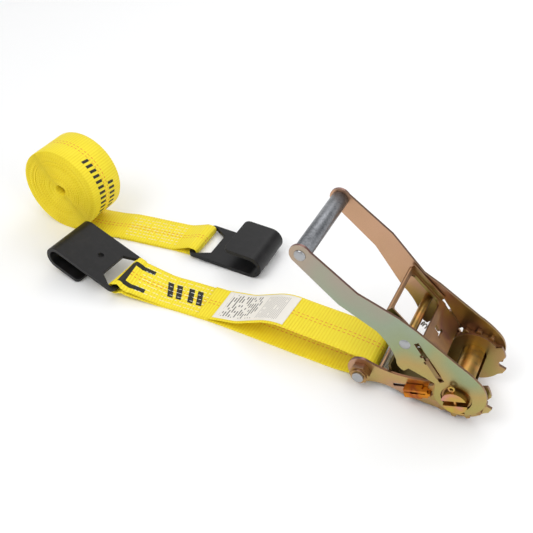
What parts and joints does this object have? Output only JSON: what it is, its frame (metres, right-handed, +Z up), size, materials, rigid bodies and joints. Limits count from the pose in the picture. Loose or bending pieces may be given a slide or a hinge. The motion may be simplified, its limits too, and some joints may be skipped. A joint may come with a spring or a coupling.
{
  "type": "ratchet tie down",
  "caption": "Hand ratchet with hinged handle, slotted spindle and pawls, a short webbing strap with flat hook, and a separate rolled long strap with flat hook.",
  "frame": {"origin": "on the floor, at the middle of the whole object's box seen from above", "axes": "+X from the strap roll towards the ratchet's spindle, +Y across the webbing away from the open side of the handle view, +Z up"},
  "size_m": [0.614, 0.1824, 0.1716],
  "materials": {
    "zinc": "yellow zinc plated steel, satin",
    "copper_zinc": "copper tinted zinc plate",
    "spring_steel": "drawn spring wire",
    "bare_steel": "zinc plated rivet, satin",
    "grip_aluminium": "brushed aluminium",
    "webbing": "woven polyester webbing",
    "label": "coated white label",
    "hook_paint": "satin black powder coat"
  },
  "bodies": {
    "ratchet_frame": {"frame": "zinc", "anchor_bolt": "zinc", "anchor_nut": "zinc", "anchor_spacer": "zinc", "stop_pawl_spring": "spring_steel"},
    "spindle": {"spindle_bar_upper": "zinc", "spindle_bar_lower": "zinc", "ratchet_wheel_near": "zinc", "ratchet_wheel_far": "zinc", "cotter_pin_near": "zinc", "cotter_pin_far": "zinc"},
    "handle": {"handle_plate_near": "zinc", "handle_plate_far": "zinc", "grip_tube": "grip_aluminium", "grip_rod": "bare_steel", "crossbar_tube": "bare_steel", "crossbar_rivet": "bare_steel", "drive_pawl_spring": "spring_steel"},
    "drive_pawl": {"drive_pawl": "zinc"},
    "stop_pawl": {"stop_pawl": "copper_zinc"},
    "short_strap": {"short_strap": "webbing", "strap_label": "label"},
    "short_hook": {"hook_short": "hook_paint"},
    "long_strap": {"strap_roll": "webbing", "strap_tail": "webbing"},
    "long_hook": {"hook_long": "hook_paint"}
  },
  "joints": [
    {"name": "spindle_spin", "type": "hinge", "parent": "ratchet_frame", "child": "spindle", "pos_m": [0.273, -0.038, 0.0316], "axis": [0, 1, 0], "continuous": true},
    {"name": "handle_swing", "type": "hinge", "parent": "ratchet_frame", "child": "handle", "pos_m": [0.273, -0.038, 0.0316], "axis": [0, 1, 0], "range_deg": [-30, 141]},
    {"name": "drive_pawl_slide", "type": "slide", "parent": "handle", "child": "drive_pawl", "axis": [-0.6135, 0, 0.7897], "range_m": [-0.005, 0.005], "stiffness_N_per_m": 1500, "deforming": ["drive_pawl_spring"]},
    {"name": "stop_pawl_slide", "type": "slide", "parent": "ratchet_frame", "child": "stop_pawl", "axis": [-0.9542, 0, -0.299], "range_m": [0, 0.008], "stiffness_N_per_m": 1000, "springref_m": -0.005, "deforming": ["stop_pawl_spring"]},
    {"name": "strap_swing", "type": "hinge", "parent": "ratchet_frame", "child": "short_strap", "pos_m": [0.175, -0.038, 0.0181], "axis": [0, 1, 0], "range_deg": [0, 45]},
    {"name": "short_hook_tilt", "type": "hinge", "parent": "short_strap", "child": "short_hook", "pos_m": [-0.12126, -0.04259, 0.01251], "axis": [0.1149, 0.9934, 0], "range_deg": [0, 60]},
    {"name": "long_strap_lift", "type": "slide", "parent": "ratchet_frame", "child": "long_strap", "axis": [0, 0, 1], "range_m": [0, 0.12]},
    {"name": "long_hook_tilt", "type": "hinge", "parent": "long_strap", "child": "long_hook", "pos_m": [-0.08089, 0.0604, 0.00601], "axis": [0, -1, 0], "range_deg": [0, 75]}
  ]
}
